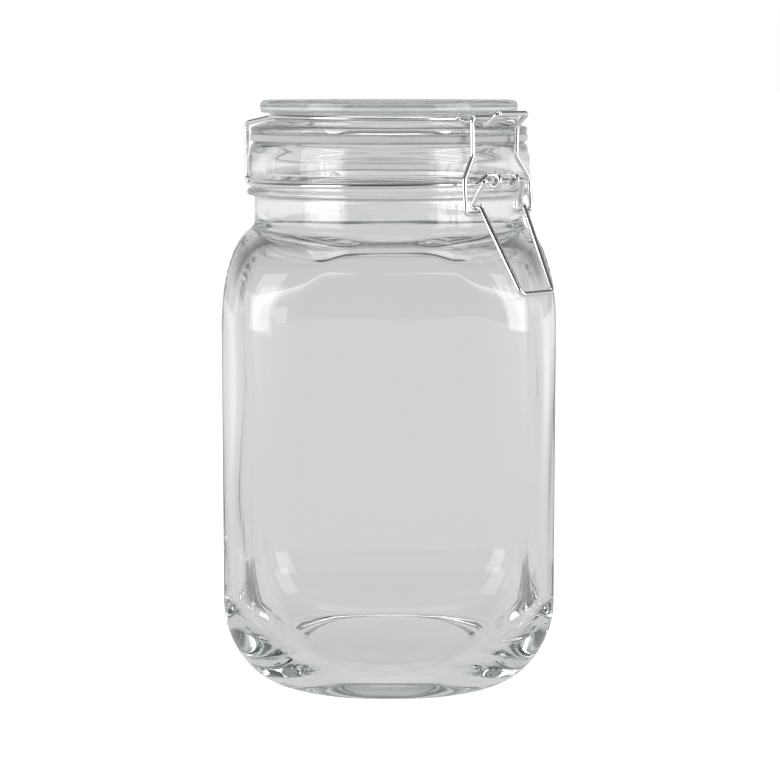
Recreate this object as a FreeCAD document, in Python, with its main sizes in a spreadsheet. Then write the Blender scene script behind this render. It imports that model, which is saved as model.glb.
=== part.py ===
import FreeCAD, Part
import math
import os

import Sketcher

# A square-bodied clip-top preserving jar. Millimetres, +Z up, origin at the centre of the
# base. The flat sides of the body face X and Y. The wire closure is laid out in a frame of
# its own, with u pointing from the jar's axis to the lever, v across it and z up, and is then
# turned about the jar's axis by closure_angle.

SIZES = {
    # jar body
    "body_width": 115.5,
    "body_corner": 25,
    "base_width": 84,
    "base_corner": 37,
    "heel_height": 26,
    "shoulder_base": 129.5,
    "shoulder_height": 32,
    "wall": 3.8,
    "base_thickness": 8,
    "pushup_radius": 36,
    "pushup_height": 2.2,
    # neck and finish
    "rim_height": 192,
    "neck_radius": 47.8,
    "bore_radius": 43.8,
    "finish_radius": 50.2,
    "finish_height": 12.7,
    "ring_groove": 3.7,
    "bead_radius": 50.5,
    "bead_height": 2.2,
    # lid and gasket
    "seat_gap": 0.2,
    "gasket_thickness": 2.7,
    "gasket_radius": 49.2,
    "gasket_bore": 43.4,
    "lid_radius": 49.1,
    "lid_thickness": 11.8,
    "flange_edge": 2.2,
    "lid_groove_radius": 40.7,
    "lid_groove_base": 4.3,
    "lid_groove_height": 3,
    "lid_top_radius": 45.7,
    "plug_radius": 42.6,
    "plug_depth": 4.2,
    "plug_wall": 3.6,
    "lid_hollow": 4.6,
    "top_recess": 0.9,
    # wire closure
    "closure_angle": -45,
    "wire": 1.8,
    "pivot_clearance": 0.25,
    "bend": 2,
    "tight_bend": 1.2,
    "neck_ring_slope": 0.014,
    "lid_ring_slope": -0.01,
    "hinge_reach": 54.5,
    "hinge_width": 38.8,
    "hinge_eye": 17.2,
    "hinge_rise": 1.5,
    "lever_reach": 55.4,
    "lever_rise": 2,
    "lever_eye": 4.4,
    "lever_shaft": 9.8,
    "crank_in": 2.4,
    "crank_drop": 10.9,
    "crank_width": 12.1,
    "arm_width": 10.9,
    "jog": 3.2,
    "handle_out": 15.4,
    "handle_drop": 37.4,
    "handle_width": 15.6,
    "bail_width": 32.8,
    "bail_waist": 22.8,
    "bail_tip": 8.5,
    "bail_height": 32.2,
    "bail_lean": 2,
    "tongue_reach": 59.1,
    "tongue_rise": 3.8,
    "tongue_width": 15,
    "tongue_valley": 52.6,
    "hook_gap": 0.6,
}

HEEL_TURNS = (0, 24, 45, 66, 90)
SHOULDER_TURNS = (0, 27, 50, 68, 80)
STRAIGHT_SHARES = (0.08, 0.3, 0.7, 0.92)
NECK_SHARES = (0.25, 0.6, 1)
NECK_ROUNDNESS = 0.2
LOFT_TOP_DROP = 2

doc = FreeCAD.newDocument("preserving_jar")
sheet = doc.addObject("Spreadsheet::Sheet", "sheet")
for row, (alias, value) in enumerate(SIZES.items(), start=1):
    sheet.set(f"A{row}", alias)
    sheet.set(f"B{row}", str(value))
    sheet.setAlias(f"B{row}", alias)
doc.recompute()


def size(expression):
    """The value of an expression in the sheet's aliases."""
    value = sheet.evalExpression(expression)
    return float(getattr(value, "Value", value))


def datum_plane(body, role):
    """One of a body's own origin planes."""
    return next(item for item in body.Origin.OriginFeatures if item.Role == role)


def new_body(label):
    body = doc.addObject("PartDesign::Body", label)
    body.Label = label
    return body


def bound(sketch, constraint, name, expression):
    """Adds a dimension to a sketch and binds it to an expression."""
    sketch.addConstraint(constraint)
    sketch.renameConstraint(sketch.ConstraintCount - 1, name)
    sketch.setExpression(f"Constraints.{name}", expression)


def point(x, y):
    return FreeCAD.Vector(x, y, 0)


def rounded_square(body, name, height, half, corner):
    """A sketch of a square with rounded corners, centred on the axis at a height."""
    sketch = body.newObject("Sketcher::SketchObject", name)
    sketch.AttachmentSupport = [(datum_plane(body, "XY_Plane"), "")]
    sketch.MapMode = "FlatFace"
    sketch.setExpression("AttachmentOffset.Base.z", height)
    edge, radius = size(half), size(corner)
    inner = edge - radius
    for side in range(4):
        turn = FreeCAD.Rotation(FreeCAD.Vector(0, 0, 1), 90 * side)
        start, end = turn.multVec(point(edge, -inner)), turn.multVec(point(edge, inner))
        sketch.addGeometry(Part.LineSegment(start, end), False)
        centre = turn.multVec(point(inner, inner))
        circle = Part.Circle(centre, FreeCAD.Vector(0, 0, 1), radius)
        begin = math.radians(90 * side)
        sketch.addGeometry(Part.ArcOfCircle(circle, begin, begin + math.pi / 2), False)
    for side in range(4):
        line, arc = 2 * side, 2 * side + 1
        sketch.addConstraint(Sketcher.Constraint("Tangent", line, 2, arc, 1))
        sketch.addConstraint(Sketcher.Constraint("Tangent", arc, 2, (line + 2) % 8, 1))
        direction = "Vertical" if side % 2 == 0 else "Horizontal"
        sketch.addConstraint(Sketcher.Constraint(direction, line))
        if side:
            sketch.addConstraint(Sketcher.Constraint("Equal", 1, arc))
    bound(sketch, Sketcher.Constraint("Radius", 1, radius), "corner", corner)
    bound(sketch, Sketcher.Constraint("DistanceX", -1, 1, 0, 1, edge), "right", half)
    bound(sketch, Sketcher.Constraint("DistanceX", 4, 1, -1, 1, edge), "left", half)
    bound(sketch, Sketcher.Constraint("DistanceY", -1, 1, 2, 1, edge), "back", half)
    bound(sketch, Sketcher.Constraint("DistanceY", 6, 1, -1, 1, edge), "front", half)
    return sketch


def rounded_profile(body, name, corners):
    """A closed outline in the XZ plane. Each corner is an x, a z and its rounding, or None."""
    sketch = body.newObject("Sketcher::SketchObject", name)
    sketch.AttachmentSupport = [(datum_plane(body, "XZ_Plane"), "")]
    sketch.MapMode = "FlatFace"
    count = len(corners)
    at = [point(size(x), size(z)) for x, z, _ in corners]
    starts, ends, arcs = list(at), list(at), {}
    for n, (_, _, rounding) in enumerate(corners):
        if rounding is None:
            continue
        radius = size(rounding)
        back = (at[n - 1] - at[n]).normalize()
        ahead = (at[(n + 1) % count] - at[n]).normalize()
        half = back.getAngle(ahead) / 2
        ends[n] = at[n] + back * (radius / math.tan(half))
        starts[n] = at[n] + ahead * (radius / math.tan(half))
        middle = at[n] + (back + ahead).normalize() * (radius / math.sin(half) - radius)
        arcs[n] = Part.Arc(ends[n], middle, starts[n])
    for n in range(count):
        sketch.addGeometry(Part.LineSegment(starts[n], ends[(n + 1) % count]), False)
    for n, (x, z, rounding) in enumerate(corners):
        before = (n - 1) % count
        if rounding is None:
            sketch.addConstraint(Sketcher.Constraint("Coincident", before, 2, n, 1))
            spot, vertex = n, 1
        else:
            arc = sketch.addGeometry(arcs[n], False)
            spot = sketch.addGeometry(Part.Point(at[n]), True)
            vertex = 1
            turn = (at[n] - at[before]).cross(at[(n + 1) % count] - at[n]).z
            first, last = (1, 2) if turn > 0 else (2, 1)
            sketch.addConstraint(Sketcher.Constraint("PointOnObject", spot, 1, before))
            sketch.addConstraint(Sketcher.Constraint("PointOnObject", spot, 1, n))
            sketch.addConstraint(Sketcher.Constraint("Tangent", before, 2, arc, first))
            sketch.addConstraint(Sketcher.Constraint("Tangent", n, 1, arc, last))
            bound(sketch, Sketcher.Constraint("Radius", arc, size(rounding)), f"r{n}", rounding)
        across = Sketcher.Constraint("DistanceX", -1, 1, spot, vertex, at[n].x)
        upright = Sketcher.Constraint("DistanceY", -1, 1, spot, vertex, at[n].y)
        bound(sketch, across, f"x{n}", x)
        bound(sketch, upright, f"z{n}", z)
    return sketch


def turned(body, kind, name, profile):
    """A Revolution or Groove of a profile, all the way round the jar's axis."""
    feature = body.newObject(f"PartDesign::{kind}", name)
    feature.Profile = profile
    feature.ReferenceAxis = (profile, ["V_Axis"])
    feature.Angle = 360
    return feature


def lofted(body, kind, name, sections):
    """An AdditiveLoft or SubtractiveLoft through sketched sections."""
    feature = body.newObject(f"PartDesign::{kind}", name)
    feature.Profile = sections[0]
    feature.Sections = sections[1:]
    feature.Ruled = False
    return feature


FINISH_BASE = "(sheet.rim_height - sheet.finish_height)"
BEAD_TOP = f"({FINISH_BASE} - sheet.ring_groove)"
BEAD_BASE = f"({BEAD_TOP} - sheet.bead_height)"
LOFT_TOP = f"({BEAD_BASE} - {LOFT_TOP_DROP})"
SHOULDER_TOP = "(sheet.shoulder_base + sheet.shoulder_height)"


def body_sections(body, name, inset, floor, neck):
    """The sections of the jar's outside, or of its hollow, from the floor to the neck."""
    body_half = f"(sheet.body_width / 2 - {inset})"
    body_corner = f"(sheet.body_corner - {inset})"
    base_half = f"(sheet.base_width / 2 - {inset})"
    base_corner = f"(sheet.base_corner - {inset})"
    neck_corner = f"({neck} - {NECK_ROUNDNESS})"
    sections = []

    def add(height, half, corner):
        sections.append(rounded_square(body, f"{name}_{len(sections)}", height, half, corner))

    for turn in HEEL_TURNS:
        out, up = math.sin(math.radians(turn)), 1 - math.cos(math.radians(turn))
        add(
            f"{floor} + (sheet.heel_height - {floor} + {inset}) * {up:.5f}",
            f"{base_half} + ({body_half} - {base_half}) * {out:.5f}",
            f"{base_corner} + ({body_corner} - {base_corner}) * {out:.5f}",
        )
    for share in STRAIGHT_SHARES:
        height = f"sheet.heel_height * (1 - {share}) + sheet.shoulder_base * {share}"
        add(height, body_half, body_corner)
    for turn in SHOULDER_TURNS:
        out, up = math.cos(math.radians(turn)), math.sin(math.radians(turn))
        add(
            f"sheet.shoulder_base + (sheet.shoulder_height - {inset}) * {up:.5f}",
            f"{neck} + ({body_half} - {neck}) * {out:.5f}",
            f"{neck_corner} + ({body_corner} - {neck_corner}) * {out:.5f}",
        )
    for share in NECK_SHARES:
        height = f"{SHOULDER_TOP} * (1 - {share}) + {LOFT_TOP} * {share}"
        add(height, neck, neck_corner)
    return sections


def make_jar():
    """The glass jar: lofted square body and hollow, turned finish and base push-up."""
    body = new_body("jar")
    outside = body_sections(body, "outside", "0", "0", "sheet.neck_radius")
    lofted(body, "AdditiveLoft", "outer_form", outside)
    hollow = body_sections(body, "hollow", "sheet.wall", "sheet.base_thickness", "sheet.bore_radius")
    lofted(body, "SubtractiveLoft", "cavity", hollow)
    finish = rounded_profile(body, "finish_profile", [
        ("sheet.bore_radius", LOFT_TOP, None),
        ("sheet.neck_radius", LOFT_TOP, None),
        ("sheet.neck_radius", BEAD_BASE, "0.6"),
        ("sheet.bead_radius", BEAD_BASE, "0.9"),
        ("sheet.bead_radius", BEAD_TOP, "0.9"),
        ("sheet.neck_radius", BEAD_TOP, "0.5"),
        ("sheet.neck_radius", FINISH_BASE, "0.5"),
        ("sheet.finish_radius - 0.8", FINISH_BASE, "0.5"),
        ("sheet.finish_radius", f"{FINISH_BASE} + 2", "2"),
        ("sheet.finish_radius - 0.1", "sheet.rim_height - 6", "9"),
        ("sheet.finish_radius - 1.5", "sheet.rim_height", "2.2"),
        ("sheet.bore_radius", "sheet.rim_height", "1.2"),
    ])
    turned(body, "Revolution", "finish", finish)
    pushup = rounded_profile(body, "pushup_profile", [
        ("0", "-1", None),
        ("sheet.pushup_radius", "-1", None),
        ("sheet.pushup_radius - 6", "sheet.pushup_height", "8"),
        ("0", "sheet.pushup_height", None),
    ])
    turned(body, "Groove", "pushup", pushup)
    return body


GASKET_BASE = "(sheet.rim_height + sheet.seat_gap)"
LID_BASE = f"({GASKET_BASE} + sheet.gasket_thickness)"
LID_TOP = f"({LID_BASE} + sheet.lid_thickness)"


def make_gasket():
    """The rubber ring between the jar's rim and the lid."""
    body = new_body("gasket")
    profile = rounded_profile(body, "gasket_profile", [
        ("sheet.gasket_bore", GASKET_BASE, "0.4"),
        ("sheet.gasket_radius", GASKET_BASE, "0.7"),
        ("sheet.gasket_radius", LID_BASE, "0.7"),
        ("sheet.gasket_bore", LID_BASE, "0.4"),
    ])
    turned(body, "Revolution", "gasket_ring", profile)
    return body


def make_lid():
    """The glass lid: flange, wire groove, raised top disc and the plug that centres it."""
    body = new_body("lid")
    groove_base = f"({LID_BASE} + sheet.lid_groove_base)"
    groove_top = f"({groove_base} + sheet.lid_groove_height)"
    hollow = f"({LID_BASE} + sheet.lid_hollow)"
    plug_base = f"({LID_BASE} - sheet.plug_depth)"
    profile = rounded_profile(body, "lid_profile", [
        ("0", hollow, None),
        ("sheet.plug_radius - sheet.plug_wall - 5", hollow, "9"),
        ("sheet.plug_radius - sheet.plug_wall - 1", plug_base, "1"),
        ("sheet.plug_radius - 1.8", plug_base, "1"),
        ("sheet.plug_radius", LID_BASE, "0.5"),
        ("sheet.lid_radius", LID_BASE, "0.9"),
        ("sheet.lid_radius", f"{LID_BASE} + sheet.flange_edge", "1"),
        ("sheet.lid_groove_radius + 2.4", groove_base, "1.2"),
        ("sheet.lid_groove_radius", groove_base, "0.8"),
        ("sheet.lid_groove_radius", groove_top, "0.8"),
        ("sheet.lid_top_radius", groove_top, "1.3"),
        ("sheet.lid_top_radius", LID_TOP, "2"),
        ("sheet.lid_top_radius - 5", LID_TOP, "1.5"),
        ("sheet.lid_top_radius - 8", f"{LID_TOP} - sheet.top_recess", "3"),
        ("0", f"{LID_TOP} - sheet.top_recess", None),
    ])
    turned(body, "Revolution", "lid_form", profile)
    return body


def vector(u, v, z):
    return FreeCAD.Vector(u, v, z)


def eye_corners(centre, v, radius, start, turn, count):
    """Corners, with their bend, of an eye that turns from one angle about a shaft along v."""
    share = turn / count
    reach = radius / math.cos(math.radians(share / 2))
    corners = []
    for n in range(count):
        angle = math.radians(start + share * (n + 0.5))
        u, z = centre[0] + reach * math.cos(angle), centre[1] + reach * math.sin(angle)
        corners.append((vector(u, v, z), abs(radius)))
    return corners


def groove_corners(radius, start, end, count, level):
    """Corners, with their bend, of an arc in the jar's or the lid's wire groove."""
    share = (end - start) / count
    reach = radius / math.cos(math.radians(share / 2))
    corners = []
    for n in range(count):
        angle = math.radians(start + share * (n + 0.5))
        u, v = reach * math.cos(angle), reach * math.sin(angle)
        corners.append((vector(u, v, level(u)), radius))
    return corners


def tangent_corner(radius, angle, width, level):
    """Where the tangent of a groove's arc at an angle meets the line v = width."""
    angle = math.radians(angle)
    along = (width - radius * math.sin(angle)) / math.cos(angle)
    u = radius * math.cos(angle) - along * math.sin(angle)
    return vector(u, width, level(u))


def bent_path(first, corners, last):
    """One wire of straight runs and tangent arcs. corners holds points and bend radii."""
    edges, at = [], first
    points = [first] + [corner for corner, _ in corners] + [last]
    for n, (corner, radius) in enumerate(corners, start=1):
        back = (points[n - 1] - corner).normalize()
        ahead = (points[n + 1] - corner).normalize()
        half = back.getAngle(ahead) / 2
        reach = radius / math.tan(half)
        start, end = corner + back * reach, corner + ahead * reach
        middle = corner + (back + ahead).normalize() * (radius / math.sin(half) - radius)
        if at.distanceToPoint(start) > 0.001:
            edges.append(Part.LineSegment(at, start).toShape())
        edges.append(Part.Arc(start, middle, end).toShape())
        at = end
    edges.append(Part.LineSegment(at, last).toShape())
    return Part.Wire(edges)


def mirrored(corners):
    return [(vector(p.x, -p.y, p.z), radius) for p, radius in reversed(corners)]


def bent_wire(label, path):
    """Round wire swept along a path in the closure's frame, turned to the closure's side."""
    spine = doc.addObject("Part::Feature", f"{label}_path")
    spine.Shape = path
    section = doc.addObject("Part::Circle", f"{label}_section")
    section.setExpression("Radius", "sheet.wire / 2")
    first = path.Edges[0]
    along = first.tangentAt(first.FirstParameter)
    rotation = FreeCAD.Rotation(FreeCAD.Vector(0, 0, 1), along)
    section.Placement = FreeCAD.Placement(first.valueAt(first.FirstParameter), rotation)
    wire = doc.addObject("Part::Sweep", label)
    wire.Label = label
    wire.Sections = [section]
    wire.Spine = (spine, [f"Edge{n + 1}" for n in range(len(path.Edges))])
    wire.Solid = True
    wire.Frenet = False
    wire.Placement = FreeCAD.Placement(vector(0, 0, 0), FreeCAD.Rotation(0, 0, 0))
    wire.setExpression("Placement.Rotation.Angle", "sheet.closure_angle")
    return wire


WIRE = size("sheet.wire")
BEND = size("sheet.bend")
TIGHT_BEND = size("sheet.tight_bend")
EYE = WIRE + size("sheet.pivot_clearance")

neck_ring_middle = size(f"{BEAD_TOP} + sheet.ring_groove / 2") + 0.15
lid_ring_middle = size(f"{LID_BASE} + sheet.lid_groove_base + sheet.lid_groove_height / 2")


def neck_level(u):
    return neck_ring_middle + size("sheet.neck_ring_slope") * u


def lid_level(u):
    return lid_ring_middle + size("sheet.lid_ring_slope") * u


# The three pivots, as u and z. The hinge is the neck ring's rear bar, the lever turns on its
# own shaft in the neck ring's front eyes, and the bail's ends are the pins that the lever lifts.
hinge = (
    -size("sheet.hinge_reach"),
    neck_level(-size("sheet.hinge_reach")) + size("sheet.hinge_rise"),
)
lever_pivot = (size("sheet.lever_reach"), neck_level(0) + size("sheet.lever_rise"))
bail_pivot = (
    lever_pivot[0] - size("sheet.crank_in"),
    lever_pivot[1] - size("sheet.crank_drop"),
)


def make_neck_ring():
    """The wire round the jar's neck: rear hinge bar, groove arcs and the lever's two eyes."""
    radius = size("sheet.neck_radius") + WIRE / 2 + 0.2
    bar = size("sheet.hinge_width") / 2
    eye = size("sheet.lever_eye")
    leave, join = 25, 150
    over = lever_pivot[1] + EYE
    groove_end = tangent_corner(radius, leave, 8.3, neck_level)
    half = [(vector(hinge[0], bar, hinge[1]), TIGHT_BEND)]
    half.append((tangent_corner(radius, join, bar, neck_level), 1.5 * BEND))
    half += groove_corners(radius, join, leave, 2, neck_level)
    half.append((groove_end, 1.5 * BEND))
    half.append((vector(lever_pivot[0] - 3.2, eye, over), TIGHT_BEND))
    half += eye_corners(lever_pivot, eye, EYE, 90, -240, 3)
    angle = math.radians(-150)
    end = vector(lever_pivot[0] + EYE * math.cos(angle), eye, lever_pivot[1] + EYE * math.sin(angle))
    tail = vector(math.sin(angle), 0, -math.cos(angle)) * 0.3
    last = end + tail
    first = vector(last.x, -last.y, last.z)
    return bent_wire("neck_ring", bent_path(first, mirrored(half) + half, last))


def make_lever():
    """The lever: a shaft in the neck ring's eyes, two cranks that jog over the bail's pins,
    and the handle. Its ends meet in the middle of the shaft."""
    butt = 0.2
    shaft = size("sheet.lever_shaft")
    crank, arm = size("sheet.crank_width"), size("sheet.arm_width")
    half_jog = size("sheet.jog") / 2
    over = bail_pivot[1] + EYE
    grip = (
        lever_pivot[0] + size("sheet.handle_out"),
        size("sheet.handle_width") / 2,
        lever_pivot[1] - size("sheet.handle_drop"),
    )
    half = [
        (vector(lever_pivot[0], shaft, lever_pivot[1]), 1.2),
        (vector(bail_pivot[0] - half_jog, crank, over), 0.9),
        (vector(bail_pivot[0] + half_jog, arm, over), 0.9),
        (vector(*grip), BEND),
    ]
    first = vector(lever_pivot[0], butt, lever_pivot[1])
    last = vector(lever_pivot[0], -butt, lever_pivot[1])
    return bent_wire("lever", bent_path(first, half + mirrored(half), last))


def make_bail():
    """The bail: crossbar over the lid ring's tongue, waisted legs and hooked ends."""
    wide, waist = size("sheet.bail_width") / 2, size("sheet.bail_waist") / 2
    tip = size("sheet.bail_tip")
    top_u = bail_pivot[0] - size("sheet.bail_lean")
    top_z = bail_pivot[1] + size("sheet.bail_height")
    half = [
        (vector(top_u, waist, top_z), 1.6),
        (vector(top_u, waist - 0.5, top_z - 13), 3),
        (vector(top_u + 1.2, wide, top_z - 21), 4),
        (vector(bail_pivot[0], wide, bail_pivot[1]), 1.6),
        (vector(bail_pivot[0], tip, bail_pivot[1]), 1.3),
    ]
    last = vector(bail_pivot[0], tip, bail_pivot[1] + 3.4)
    first = vector(last.x, -last.y, last.z)
    return bent_wire("bail", bent_path(first, mirrored(half) + half, last))


def make_lid_ring():
    """The wire in the lid's groove: front tongue, groove arcs, rear legs and hinge eyes."""
    radius = size("sheet.lid_groove_radius") + WIRE / 2 + 0.05
    tongue = size("sheet.tongue_width") / 2
    valley = size("sheet.tongue_valley")
    crossbar = bail_pivot[1] + size("sheet.bail_height")
    low = crossbar - WIRE - size("sheet.hook_gap")
    reach = size("sheet.tongue_reach")
    leg = size("sheet.hinge_eye")
    leave, join = 20, 150
    tip = low + size("sheet.tongue_rise")
    half = [
        (vector(reach, tongue, tip), 1.6),
        (vector(valley + 1.8, tongue + 0.3, low), 2),
        (vector(valley - 1.6, tongue + 0.3, low), 2),
        (tangent_corner(radius, leave, tongue + 0.3, lid_level), BEND),
    ]
    half += groove_corners(radius, leave, join, 2, lid_level)
    half.append((tangent_corner(radius, join, leg, lid_level), 1.5 * BEND))
    half.append((vector(hinge[0] - EYE, leg, lid_level(hinge[0]) - 3.2), BEND))
    half += eye_corners(hinge, leg, EYE, 180, 210, 3)
    angle = math.radians(180 + 210)
    end = vector(hinge[0] + EYE * math.cos(angle), leg, hinge[1] + EYE * math.sin(angle))
    tail = vector(-math.sin(angle), 0, math.cos(angle)) * 0.3
    last = end + tail
    first = vector(last.x, -last.y, last.z)
    return bent_wire("lid_ring", bent_path(first, mirrored(half) + half, last))


def check(items):
    """Stops before anything is written if an object failed or a sub-part has no sound shape."""
    for item in doc.Objects:
        if "Invalid" in item.State or "Error" in item.State:
            raise RuntimeError(f"{item.Label} failed: {item.State}")
    for item in items:
        if item.Shape.isNull() or not item.Shape.isValid() or not item.Shape.Solids:
            raise RuntimeError(f"{item.Label} has no sound shape")


sub_parts = [
    make_jar(),
    make_gasket(),
    make_lid(),
    make_neck_ring(),
    make_lid_ring(),
    make_lever(),
    make_bail(),
]
doc.recompute()
check(sub_parts)

os.makedirs("parts", exist_ok=True)
for item in sub_parts:
    item.Shape.exportStep(os.path.join("parts", f"{item.Label}.step"))
    box = item.Shape.BoundBox
    print(item.Label, len(item.Shape.Solids), round(item.Shape.Volume / 1000, 2), box)
for name, (u, z) in (("hinge", hinge), ("lever_pivot", lever_pivot), ("bail_pivot", bail_pivot)):
    turn = math.radians(size("sheet.closure_angle"))
    print(name, round(u * math.cos(turn), 3), round(u * math.sin(turn), 3), round(z, 3))
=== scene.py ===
"""The looks of the square clip-top preserving jar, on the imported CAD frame.

The glass jar and lid are finer meshes that stand for their CAD nodes, with the slightly uneven
inside of moulded glass. The gasket and the four wires are the CAD nodes with finished materials.
Outlines are in millimetres, and MM turns them into the frame's metres.
"""

import math

import bmesh
import bpy
from mathutils import Matrix, Vector, noise


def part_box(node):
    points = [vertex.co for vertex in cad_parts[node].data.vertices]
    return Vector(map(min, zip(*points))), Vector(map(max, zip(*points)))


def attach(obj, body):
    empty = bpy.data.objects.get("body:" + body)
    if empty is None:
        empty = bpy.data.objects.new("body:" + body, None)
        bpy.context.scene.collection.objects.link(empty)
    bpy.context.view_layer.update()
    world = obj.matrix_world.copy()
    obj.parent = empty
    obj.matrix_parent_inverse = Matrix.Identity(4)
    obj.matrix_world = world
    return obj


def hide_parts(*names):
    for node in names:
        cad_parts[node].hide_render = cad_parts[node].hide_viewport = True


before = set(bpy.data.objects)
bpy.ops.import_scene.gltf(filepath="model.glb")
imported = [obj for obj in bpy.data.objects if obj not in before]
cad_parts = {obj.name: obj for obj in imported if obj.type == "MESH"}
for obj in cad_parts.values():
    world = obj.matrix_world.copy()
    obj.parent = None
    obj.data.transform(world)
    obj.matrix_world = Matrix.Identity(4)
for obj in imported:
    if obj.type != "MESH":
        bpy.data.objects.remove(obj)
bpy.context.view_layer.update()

MM = 0.001
AROUND = 320            # points in each ring of the glass

# ---------------------------------------------------------------- sizes, mm
jar_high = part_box("jar")[1] / MM
lid_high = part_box("lid")[1] / MM

# the square body
BODY_HALF = jar_high.x - 0.05       # a hair inside the CAD's box
BODY_CORNER = 26.0
BASE_HALF = 42.8
BASE_CORNER = 39.8
BASE_ROUNDING = 0.2     # how much rounder the base's rings are in the middle than at its edge
HEEL_HEIGHT = 32.8
HEEL_OUT_POWER = 1.2    # both powers are 1 for a heel that is a quarter ellipse
HEEL_UP_POWER = 0.79
SHOULDER_HEIGHT = 31.6
SHOULDER_TURN = 78      # degrees of the shoulder's quarter circle, before it turns to the neck
WALL = 3.8
FLOOR = 8.0
FLOOR_CROWN = 1.2       # how far the inner floor rises to its middle

# the foot
PUSHUP_START = 3.0
PUSHUP_HEIGHT = 2.2
PUSHUP_RADIUS = 28.0
STEP_RADIUS = 35.0
STEP_HEIGHT = 0.4
FOOT_INNER = 37.5       # the jar stands on the ring between this and FOOT_OUTER
FOOT_OUTER = BASE_HALF - 1.5

# the round neck, from the rim down
RIM = jar_high.z
NECK = 47.8
NECK_EASE = 4.0         # how far over the shoulder its last curve stands upright
BORE = 43.8
BORE_DEPTH = 12.0
BEAD = 50.5
FINISH = 50.2
FINISH_BASE = RIM - 12.7
BEAD_TOP = FINISH_BASE - 3.7
BEAD_BASE = BEAD_TOP - 2.2
SHOULDER_TOP = BEAD_BASE - 11.7
SHOULDER_BASE = SHOULDER_TOP - SHOULDER_HEIGHT

# the lid
LID_TOP = lid_high.z
LID_BASE = LID_TOP - 11.8
LID_MIDDLE = 1.0        # where its outline starts and ends, beside the axis
DISC = 45.7
RECESS = 0.9
RECESS_EDGE = DISC - 8
RIDGE_EDGE = DISC - 5
GROOVE = 40.7
GROOVE_BASE = LID_BASE + 4.3
GROOVE_TOP = GROOVE_BASE + 3
FLANGE = 49.1
FLANGE_EDGE = 2.2
FLANGE_INNER = GROOVE + 2.4
PLUG = 42.6
PLUG_BASE = LID_BASE - 4.2
PLUG_OUTER = PLUG - 1.8
PLUG_INNER = PLUG - 4.6
HOLLOW = PLUG - 8.6
HOLLOW_TOP = LID_BASE + 4.6

# the inner wall's waves: how deep, how wide, their width over their height, and which ones
UNEVEN_DEPTH = 0.5
UNEVEN_GRAIN = 30.0
UNEVEN_RISE = 0.6
UNEVEN_SEED = 3.0

# steps of each stretch of the glass
HEEL_STEPS = 32
WALL_STEPS = 32
SHOULDER_STEPS = 24
EASE_STEPS = 8
FLOOR_RINGS = 14
FLOOR_SPAN = FLOOR_RINGS + 1.5      # in rings, from the floor's edge to its middle


# ---------------------------------------------------------------- mesh helpers
def polar_radius(half, corner, angle):
    """How far a square with rounded corners reaches from its middle in one direction."""
    folded = abs((angle + math.pi / 4) % (math.pi / 2) - math.pi / 4)
    inner = half - corner
    if math.tan(folded) * half <= inner:
        return half / math.cos(folded)
    along = inner * (math.cos(folded) + math.sin(folded))
    return along + math.sqrt(max(0.0, corner ** 2 - inner ** 2 * (1 - math.sin(2 * folded))))


def ring(half, corner, height):
    """One closed ring of points: a square with rounded corners, or a circle."""
    points = []
    for n in range(AROUND):
        angle = 2 * math.pi * n / AROUND
        reach = polar_radius(half, corner, angle)
        points.append(Vector((reach * math.cos(angle), reach * math.sin(angle), height)))
    return points


def rounded(corners, steps=6):
    """An open outline of r and z, with the inner corners rounded. Each corner: r, z, rounding."""
    outline = [Vector(corners[0][:2])]
    for before, here, after in zip(corners, corners[1:], corners[2:]):
        spot = Vector(here[:2])
        back = (Vector(before[:2]) - spot).normalized()
        ahead = (Vector(after[:2]) - spot).normalized()
        half = back.angle(ahead) / 2
        nearly_straight = half > math.pi / 2 - 0.01
        if here[2] == 0 or nearly_straight:
            outline.append(spot)
            continue
        centre = spot + (back + ahead).normalized() * (here[2] / math.sin(half))
        start = spot + back * (here[2] / math.tan(half)) - centre
        end = spot + ahead * (here[2] / math.tan(half)) - centre
        sweep = start.angle_signed(end)
        for n in range(steps + 1):
            outline.append(centre + Matrix.Rotation(-sweep * n / steps, 2) @ start)
    outline.append(Vector(corners[-1][:2]))
    return outline


def subdivided(outline, longest):
    """The outline with its long runs cut into pieces no longer than a length."""
    points = [outline[0]]
    for point in outline[1:]:
        last = points[-1]
        count = max(1, math.ceil((point - last).length / longest))
        points += [last.lerp(point, n / count) for n in range(1, count + 1)]
    return points


def skinned(name, rings):
    """A closed mesh of quads over rings, whose first and last ring close to a point."""
    vertices = [point * MM for points in rings for point in points]
    count = len(rings[0])
    faces = []
    spans = len(rings) - 1
    for row in range(spans):
        for n in range(count):
            after = (n + 1) % count
            a, b = row * count, (row + 1) * count
            faces.append((a + n, a + after, b + after, b + n))
    for row, flip in ((0, True), (spans, False)):
        vertices.append(sum(rings[row], Vector()) / count * MM)
        hub = len(vertices) - 1
        for n in range(count):
            edge = (row * count + n, row * count + (n + 1) % count)
            faces.append((edge[1], edge[0], hub) if flip else (edge[0], edge[1], hub))
    mesh = bpy.data.meshes.new(name)
    mesh.from_pydata(vertices, [], faces)
    shape = bmesh.new()
    shape.from_mesh(mesh)
    bmesh.ops.recalc_face_normals(shape, faces=shape.faces)
    shape.to_mesh(mesh)
    shape.free()
    mesh.shade_smooth()
    piece = bpy.data.objects.new(name, mesh)
    bpy.context.scene.collection.objects.link(piece)
    return piece


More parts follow.
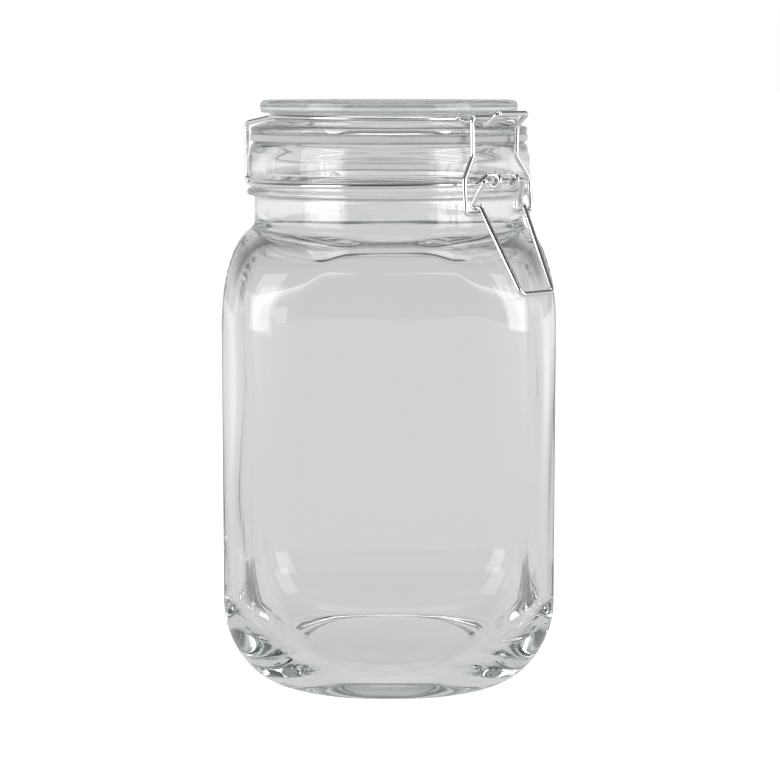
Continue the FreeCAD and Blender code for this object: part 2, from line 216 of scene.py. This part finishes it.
# ---------------------------------------------------------------- the glass
def body_stations(inset, floor, neck):
    """Half width, corner and height of the jar's outside or inside, from the floor upward."""
    body_half, body_corner = BODY_HALF - inset, BODY_CORNER - inset
    base_half, base_corner = BASE_HALF - inset, BASE_CORNER - inset
    stations = []
    for n in range(1, HEEL_STEPS + 1):
        turn = math.radians(90 * n / HEEL_STEPS)
        out, up = math.sin(turn) ** HEEL_OUT_POWER, (1 - math.cos(turn)) ** HEEL_UP_POWER
        stations.append((
            base_half + (body_half - base_half) * out,
            base_corner + (body_corner - base_corner) * out,
            floor + (HEEL_HEIGHT - floor + inset) * up,
        ))
    first = stations[-1][2]
    for n in range(1, WALL_STEPS):
        height = first + (SHOULDER_BASE - first) * n / WALL_STEPS
        stations.append((body_half, body_corner, height))
    for n in range(SHOULDER_STEPS + 1):
        turn = math.radians(SHOULDER_TURN * n / SHOULDER_STEPS)
        out, up = math.cos(turn), math.sin(turn)
        stations.append((
            neck + (body_half - neck) * out,
            neck + (body_corner - neck) * out,
            SHOULDER_BASE + (SHOULDER_HEIGHT - inset) * up,
        ))
    half, corner, height = stations[-1]
    bend = SHOULDER_BASE + SHOULDER_HEIGHT - inset
    for n in range(1, EASE_STEPS + 1):
        share = n / EASE_STEPS
        keep, middle, new = (1 - share) ** 2, 2 * share * (1 - share), share ** 2
        stations.append((
            half * keep + neck * (middle + new),
            corner * keep + neck * (middle + new),
            height * keep + bend * middle + (bend + NECK_EASE) * new,
        ))
    return stations


def uneven(point):
    """A point of the glass moved a little along its outward direction, as moulded glass is."""
    outward = Vector((point.x, point.y, 0))
    spot = Vector((point.x, point.y, point.z * UNEVEN_RISE)) / UNEVEN_GRAIN
    spot += Vector((UNEVEN_SEED, UNEVEN_SEED, UNEVEN_SEED))
    return point + outward.normalized() * UNEVEN_DEPTH * noise.noise(spot)


def make_jar():
    """The jar's glass, outside and inside in one skin, from the push-up to the inner floor."""
    base = subdivided(rounded([
        (PUSHUP_START, PUSHUP_HEIGHT, 0),
        (PUSHUP_RADIUS, PUSHUP_HEIGHT, 8),
        (STEP_RADIUS, STEP_HEIGHT, 2),
        (FOOT_INNER, 0.0, 2),
        (FOOT_OUTER, 0.0, 0),
    ]), longest=3)
    rings = []
    for p in base:
        roundness = BASE_CORNER / BASE_HALF + BASE_ROUNDING * (1 - p.x / BASE_HALF)
        rings.append(ring(p.x, p.x * min(1, roundness), p.y))
    outside = body_stations(0, 0, NECK)
    rings += [ring(*station) for station in outside]
    finish = subdivided(rounded([
        (NECK, outside[-1][2] + 1, 0),
        (NECK, BEAD_BASE, 0.6),
        (BEAD, BEAD_BASE, 0.9),
        (BEAD, BEAD_TOP, 0.9),
        (NECK, BEAD_TOP, 0.5),
        (NECK, FINISH_BASE, 0.5),
        (FINISH - 0.8, FINISH_BASE, 0.5),
        (FINISH, FINISH_BASE + 2, 2),
        (FINISH - 0.1, RIM - 6, 9),
        (FINISH - 1.5, RIM, 2.2),
        (BORE, RIM, 1.2),
        (BORE, RIM - BORE_DEPTH, 0),
    ]), longest=1.5)
    rings += [ring(p.x, p.x, p.y) for p in finish]
    for station in reversed(body_stations(WALL, FLOOR, BORE)):
        rings.append([uneven(point) for point in ring(*station)])
    floor = ring(BASE_HALF - WALL, BASE_CORNER - WALL, FLOOR)
    for n in range(1, FLOOR_RINGS + 1):
        share = 1 - n / FLOOR_SPAN
        lift = FLOOR_CROWN * (1 - share ** 2) ** 2
        rings.append([Vector((p.x * share, p.y * share, p.z + lift)) for p in floor])
    return skinned("jar_glass_body", rings)


def make_lid():
    """The lid's glass, turned from the middle of its top down to the middle of its hollow."""
    outline = subdivided(rounded([
        (LID_MIDDLE, LID_TOP - RECESS, 0),
        (RECESS_EDGE, LID_TOP - RECESS, 3),
        (RIDGE_EDGE, LID_TOP, 1.5),
        (DISC, LID_TOP, 2),
        (DISC, GROOVE_TOP, 1.3),
        (GROOVE, GROOVE_TOP, 0.8),
        (GROOVE, GROOVE_BASE, 0.8),
        (FLANGE_INNER, GROOVE_BASE, 1.2),
        (FLANGE, LID_BASE + FLANGE_EDGE, 1),
        (FLANGE, LID_BASE, 0.9),
        (PLUG, LID_BASE, 0.5),
        (PLUG_OUTER, PLUG_BASE, 1),
        (PLUG_INNER, PLUG_BASE, 1),
        (HOLLOW, HOLLOW_TOP, 9),
        (LID_MIDDLE, HOLLOW_TOP, 0),
    ]), longest=2)
    return skinned("lid_glass_disc", [ring(p.x, p.x, p.y) for p in outline])


# ---------------------------------------------------------------- materials
def node_material(name):
    """A new node material, its tree and its main shader."""
    material = bpy.data.materials.new(name)
    material.use_nodes = True
    return material, material.node_tree, material.node_tree.nodes["Principled BSDF"]


def noise_bump(tree, shader, scale, distance, detail=2.0, stretch=(1, 1, 1)):
    """A bump from noise in the object's own coordinates, in metres."""
    coordinates = tree.nodes.new("ShaderNodeTexCoord")
    mapping = tree.nodes.new("ShaderNodeMapping")
    mapping.inputs["Scale"].default_value = stretch
    texture = tree.nodes.new("ShaderNodeTexNoise")
    texture.inputs["Scale"].default_value = scale
    texture.inputs["Detail"].default_value = detail
    bump = tree.nodes.new("ShaderNodeBump")
    bump.inputs["Distance"].default_value = distance
    tree.links.new(coordinates.outputs["Object"], mapping.inputs["Vector"])
    tree.links.new(mapping.outputs["Vector"], texture.inputs["Vector"])
    tree.links.new(texture.outputs["Fac"], bump.inputs["Height"])
    tree.links.new(bump.outputs["Normal"], shader.inputs["Normal"])


def glass_material():
    """Clear glass, a little wavy, that tints the light where it is thick."""
    material, tree, shader = node_material("clear_moulded_glass")
    shader.inputs["Base Color"].default_value = (0.985, 0.99, 0.985, 1)
    shader.inputs["Transmission Weight"].default_value = 1
    shader.inputs["Roughness"].default_value = 0.01
    shader.inputs["IOR"].default_value = 1.5
    noise_bump(tree, shader, scale=35, distance=0.0003, detail=1.0, stretch=(1, 1, 0.5))
    tint = tree.nodes.new("ShaderNodeVolumeAbsorption")
    tint.inputs["Color"].default_value = (0.9, 0.925, 0.905, 1)
    tint.inputs["Density"].default_value = 20
    tree.links.new(tint.outputs[0], tree.nodes["Material Output"].inputs["Volume"])
    return material


def rubber_material():
    """White rubber that light enters a little, with a fine matt grain."""
    material, tree, shader = node_material("translucent_white_rubber")
    shader.inputs["Base Color"].default_value = (0.7, 0.7, 0.69, 1)
    shader.inputs["Roughness"].default_value = 0.45
    shader.inputs["Subsurface Weight"].default_value = 0.3
    shader.inputs["Subsurface Radius"].default_value = (0.002, 0.002, 0.002)
    noise_bump(tree, shader, scale=900, distance=0.00005)
    return material


def wire_material():
    """Drawn wire, bright but not a mirror."""
    material, tree, shader = node_material("bright_steel_wire")
    shader.inputs["Base Color"].default_value = (0.8, 0.8, 0.81, 1)
    shader.inputs["Metallic"].default_value = 1
    shader.inputs["Roughness"].default_value = 0.13
    noise_bump(tree, shader, scale=1500, distance=0.00002)
    return material


def finish_with(piece, material):
    """The piece in one material and no other."""
    piece.data.materials.clear()
    piece.data.materials.append(material)


glass = glass_material()
jar = make_jar()
lid = make_lid()
for piece, node, slot in ((jar, "jar", "jar_glass"), (lid, "lid", "lid_glass")):
    finish_with(piece, glass)
    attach(piece, node)
    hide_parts(node)

rubber, wire = rubber_material(), wire_material()
for node, material in (("gasket", rubber), ("neck_ring", wire), ("lid_ring", wire),
                       ("lever", wire), ("bail", wire)):
    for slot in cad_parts[node].material_slots:
        slot.material = material


# ---------------------------------------------------------------- studio
PALE = 0.665        # the room behind the jar, as glass and metal see it
FRONT = 0.12        # the dark end behind the camera
TOP = 0.25          # how much of the room's light is left overhead
SIDE = 1.08         # how much lighter the room is left and right
FRONT_RAMP = (-0.95, -0.3)      # the stretch of a direction's Y, Z or X in which each changes
TOP_RAMP = (0.1, 0.55)
SIDE_RAMP = (0.3, 0.9)

FLOOR_PAINTED_SIDE_LIGHT = 1.35   # FLOOR_PAINTED_SIDE_LIGHT = 1.35 # painted light: how much lighter the floor's glow is toward the sides, where the softboxes stand
FLOOR_PAINTED_LIGHT_RAMP = (0.15, 0.8)        # FLOOR_PAINTED_LIGHT_RAMP = (0.15, 0.8) # metres aside in which that painted light ramps up
FLOOR_GLOW = 0.88   # the floor's own light for the camera; with the lamps' light it is white
FLOOR_REACH = 60    # metres, past any view of its edge
FLOOR_GAP = 0.0003  # metres below the jar's foot

CAMERA_PLACE = (0.0004, -0.86, 0.212)
CAMERA_TILT = 7.24  # degrees down
CAMERA_LENS = 111   # mm

LAMP_AIM = (0, 0, 0.12)
LAMPS = (           # name, place, width and height in metres, watts
    ("left_softbox", (-1.2, -0.75, 0.55), 0.9, 1.2, 10),
    ("right_softbox", (1.2, -0.75, 0.55), 0.9, 1.2, 10),
    ("top_softbox", (0, 0.3, 1.8), 1.2, 1.2, 8),
)
BOUNCES = 40        # light runs round inside the thick glass of the base before it leaves


def map_range(tree, value, start, end, low, high):
    """A smooth ramp of a node's output, as a new output."""
    ramp = tree.nodes.new("ShaderNodeMapRange")
    ramp.interpolation_type = "SMOOTHSTEP"
    ramp.inputs["From Min"].default_value = start
    ramp.inputs["From Max"].default_value = end
    ramp.inputs["To Min"].default_value = low
    ramp.inputs["To Max"].default_value = high
    tree.links.new(value, ramp.inputs["Value"])
    return ramp.outputs["Result"]


def maths(tree, operation, first, second=None):
    """One maths node on one or two outputs, as a new output."""
    node = tree.nodes.new("ShaderNodeMath")
    node.operation = operation
    tree.links.new(first, node.inputs[0])
    if second is not None:
        tree.links.new(second, node.inputs[1])
    return node.outputs[0]


def make_floor():
    """A floor white to the camera apart from the jar's shadow. To glass and metal it glows as pale
    as the room, with painted light toward the sides.
    """
    mesh = bpy.data.meshes.new("floor")
    signs = ((-1, -1), (1, -1), (1, 1), (-1, 1))
    corners = [(x * FLOOR_REACH, y * FLOOR_REACH, 0) for x, y in signs]
    mesh.from_pydata(corners, [], [(0, 1, 2, 3)])
    floor = bpy.data.objects.new("floor", mesh)
    bpy.context.scene.collection.objects.link(floor)
    floor.location.z = -FLOOR_GAP
    material, tree, shader = node_material("floor")
    shader.inputs["Base Color"].default_value = (0.8, 0.8, 0.8, 1)
    shader.inputs["Roughness"].default_value = 0.9
    shader.inputs["Specular IOR Level"].default_value = 0
    path = tree.nodes.new("ShaderNodeLightPath")
    shader.inputs["Emission Color"].default_value = (1, 1, 1, 1)
    glow = map_range(tree, path.outputs["Is Camera Ray"], 0, 1, 0, FLOOR_GLOW)
    tree.links.new(glow, shader.inputs["Emission Strength"])
    place = tree.nodes.new("ShaderNodeTexCoord")
    split = tree.nodes.new("ShaderNodeSeparateXYZ")
    tree.links.new(place.outputs["Object"], split.inputs[0])
    aside = maths(tree, "ABSOLUTE", split.outputs["X"])
    # painted light: glass and metal see the floor's own glow, not lamp light, and it is lighter to
    # the left and right as if under the softboxes
    pale = tree.nodes.new("ShaderNodeEmission")
    painted_floor_light = map_range(tree, aside, *FLOOR_PAINTED_LIGHT_RAMP, PALE, PALE * FLOOR_PAINTED_SIDE_LIGHT)
    tree.links.new(painted_floor_light, pale.inputs["Strength"])
    seen = maths(tree, "MAXIMUM", path.outputs["Is Transmission Ray"], path.outputs["Is Glossy Ray"])
    mix = tree.nodes.new("ShaderNodeMixShader")
    tree.links.new(seen, mix.inputs[0])
    tree.links.new(shader.outputs[0], mix.inputs[1])
    tree.links.new(pale.outputs[0], mix.inputs[2])
    tree.links.new(mix.outputs[0], tree.nodes["Material Output"].inputs["Surface"])
    finish_with(floor, material)


def make_world():
    """White to the camera. Glass and metal see a pale room, darker in front and overhead."""
    world = bpy.data.worlds.new("studio")
    bpy.context.scene.world = world
    world.use_nodes = True
    tree = world.node_tree
    background = tree.nodes["Background"]
    coordinates = tree.nodes.new("ShaderNodeTexCoord")
    split = tree.nodes.new("ShaderNodeSeparateXYZ")
    tree.links.new(coordinates.outputs["Generated"], split.inputs[0])
    aside = maths(tree, "ABSOLUTE", split.outputs["X"])
    depth = map_range(tree, split.outputs["Y"], *FRONT_RAMP, FRONT, PALE)
    height = map_range(tree, split.outputs["Z"], *TOP_RAMP, 1, TOP)
    side = map_range(tree, aside, *SIDE_RAMP, 1, SIDE)
    room = maths(tree, "MULTIPLY", maths(tree, "MULTIPLY", depth, height), side)
    path = tree.nodes.new("ShaderNodeLightPath")
    mix = tree.nodes.new("ShaderNodeMix")
    mix.data_type = "FLOAT"
    tree.links.new(path.outputs["Is Camera Ray"], mix.inputs["Factor"])
    tree.links.new(room, mix.inputs["A"])
    mix.inputs["B"].default_value = 1
    background.inputs["Color"].default_value = (1, 1, 1, 1)
    tree.links.new(mix.outputs["Result"], background.inputs["Strength"])


def softbox(name, place, width, height, power):
    """An area lamp that faces the jar."""
    light = bpy.data.lights.new(name, "AREA")
    light.shape = "RECTANGLE"
    light.size, light.size_y = width, height
    light.energy = power
    lamp = bpy.data.objects.new(name, light)
    bpy.context.scene.collection.objects.link(lamp)
    lamp.location = place
    towards = Vector(LAMP_AIM) - Vector(place)
    lamp.rotation_euler = towards.to_track_quat("-Z", "Y").to_euler()


def make_camera():
    """The photograph's view: 0.86 m away, level with the lid and tilted down onto the body."""
    camera = bpy.data.cameras.new("camera")
    camera.sensor_width = 36
    camera.lens = CAMERA_LENS
    camera.clip_end = 200
    view = bpy.data.objects.new("camera", camera)
    bpy.context.scene.collection.objects.link(view)
    view.location = CAMERA_PLACE
    view.rotation_euler = (math.radians(90 - CAMERA_TILT), 0, 0)
    bpy.context.scene.camera = view


make_floor()
make_world()
for lamp in LAMPS:
    softbox(*lamp)
make_camera()
bpy.context.scene.view_settings.view_transform = "Standard"
paths = bpy.context.scene.cycles
paths.max_bounces = paths.glossy_bounces = paths.transmission_bounces = BOUNCES
